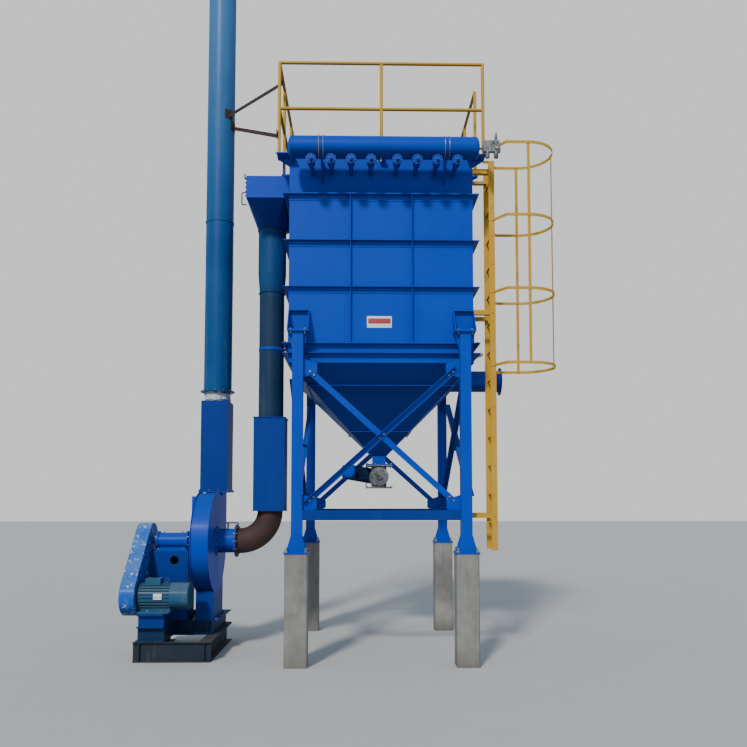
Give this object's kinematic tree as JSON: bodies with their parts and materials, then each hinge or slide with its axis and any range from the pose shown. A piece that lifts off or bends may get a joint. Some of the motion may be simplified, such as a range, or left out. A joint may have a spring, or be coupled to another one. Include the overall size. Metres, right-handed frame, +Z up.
{
  "type": "pulse jet bag filter",
  "caption": "Blue pulse jet bag filter on columns with a hopper, rotary valve, roof rail, caged ladder, outlet duct, belt driven fan and a tall stack.",
  "frame": {"origin": "ground level, at the centre of the whole plant's plan", "axes": "+Z up along the stack, front of the filter faces -Y, ladder side towards +X"},
  "size_m": [4.465, 2.609, 9],
  "materials": {
    "bare_steel": "machined steel, lightly oiled",
    "blue_steel": "bright blue gloss paint",
    "canvas": "grey coated canvas",
    "concrete": "rough cast concrete, matt",
    "dark_steel": "dark blue grey paint, satin",
    "dusty_blue_steel": "weathered grey blue paint, satin",
    "grey_cast": "grey cast metal",
    "motor_paint": "grey blue paint, satin",
    "rusty_steel": "rusted steel with dark scale, matt",
    "yellow_steel": "yellow ochre paint, satin"
  },
  "bodies": {
    "root": {"air_regulator": "grey_cast", "air_tank": "blue_steel", "air_tank_ends": "blue_steel", "bearing_housing": "blue_steel", "bearing_post": "blue_steel", "belt_guard": "blue_steel", "blow_pipes": "blue_steel", "clean_air_plenum": "blue_steel", "column_front_left": "blue_steel", "column_front_right": "blue_steel", "column_rear_left": "blue_steel", "column_rear_right": "blue_steel", "discharge_box": "blue_steel", "downcomer": "dusty_blue_steel", "downcomer_box": "blue_steel", "duct_clamp": "blue_steel", "fan_base_frame": "dark_steel", "fan_casing": "blue_steel", "fan_inlet_elbow": "rusty_steel", "fan_inlet_ring": "blue_steel", "fan_legs": "blue_steel", "fan_motor": "motor_paint", "fan_shaft": "bare_steel", "flexible_sleeve": "canvas", "front_bracing": "blue_steel", "front_wall": "blue_steel", "gearmotor_plate": "dark_steel", "handrail_brackets": "blue_steel", "handrail_front": "yellow_steel", "handrail_left": "yellow_steel", "handrail_rear": "yellow_steel", "handrail_right": "yellow_steel", "hopper": "blue_steel", "inlet_nozzle": "blue_steel", "ladder": "yellow_steel", "ladder_brackets": "yellow_steel", "ladder_cage": "yellow_steel", "left_bracing": "blue_steel", "left_wall": "blue_steel", "motor_base": "blue_steel", "outlet_hood": "blue_steel", "pedestals": "concrete", "plinth_beams": "dark_steel", "pulse_valves": "blue_steel", "rear_bracing": "blue_steel", "rear_wall": "blue_steel", "right_bracing": "blue_steel", "right_wall": "blue_steel", "roof": "blue_steel", "roof_covers": "blue_steel", "rotary_valve": "grey_cast", "stack": "dusty_blue_steel", "stack_stays": "rusty_steel", "support_lugs": "blue_steel", "tank_brackets": "blue_steel", "tie_beams": "blue_steel", "valve_chain_guard": "dark_steel", "valve_gearmotor": "blue_steel"}
  },
  "joints": []
}
